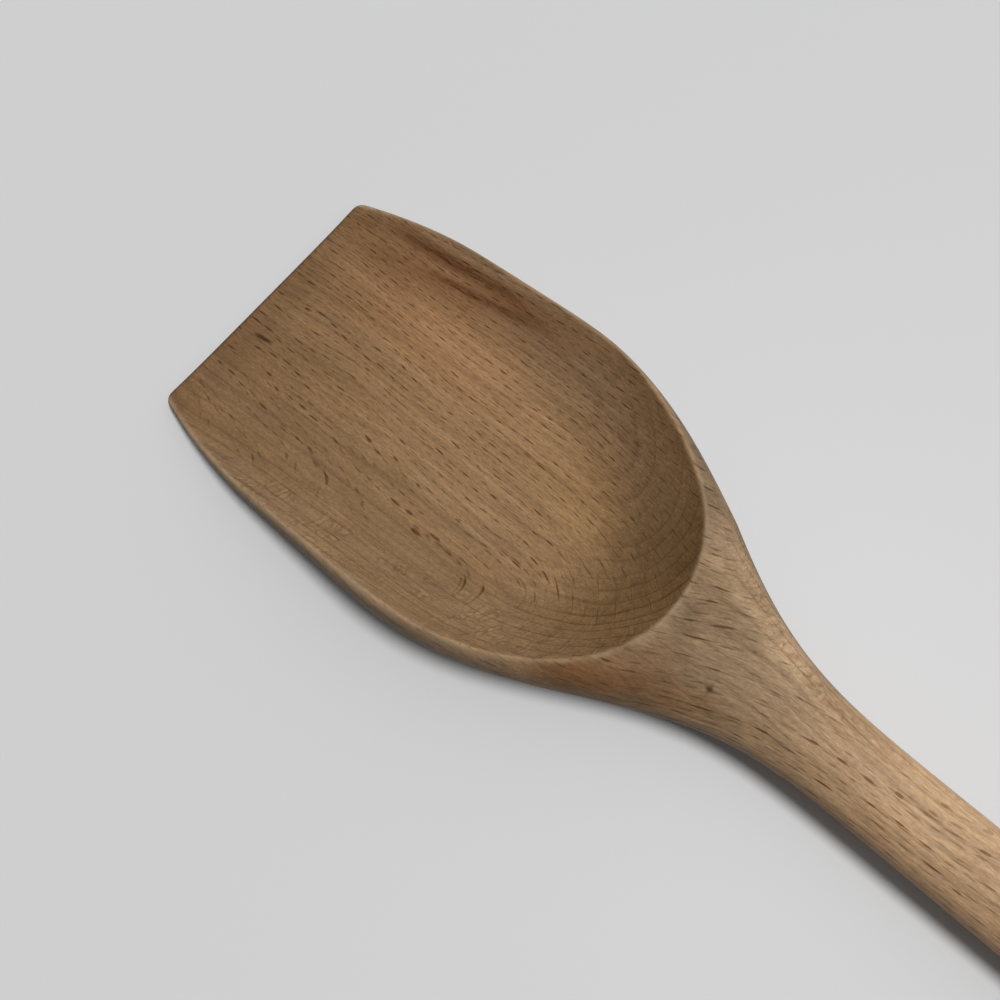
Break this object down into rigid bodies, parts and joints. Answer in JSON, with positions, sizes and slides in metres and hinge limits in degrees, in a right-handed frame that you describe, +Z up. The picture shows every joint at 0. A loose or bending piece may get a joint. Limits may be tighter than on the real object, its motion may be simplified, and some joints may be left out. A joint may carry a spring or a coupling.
{
  "type": "wooden spoon",
  "caption": "Flat-fronted wooden spoon: wide scoop bowl with a straight blade edge, a rounded rear wall and a slim neck that runs into a plain round handle.",
  "frame": {"origin": "middle of the spoon's outline on the table that it lies on", "axes": "+X along the spoon from the blade's edge to the end of the handle, +Y across it, +Z up out of the bowl"},
  "size_m": [0.32, 0.076, 0.028],
  "materials": {
    "beech": "bare sanded wood, satin where it is worn"
  },
  "bodies": {
    "root": {"spoon": "beech"}
  },
  "joints": []
}
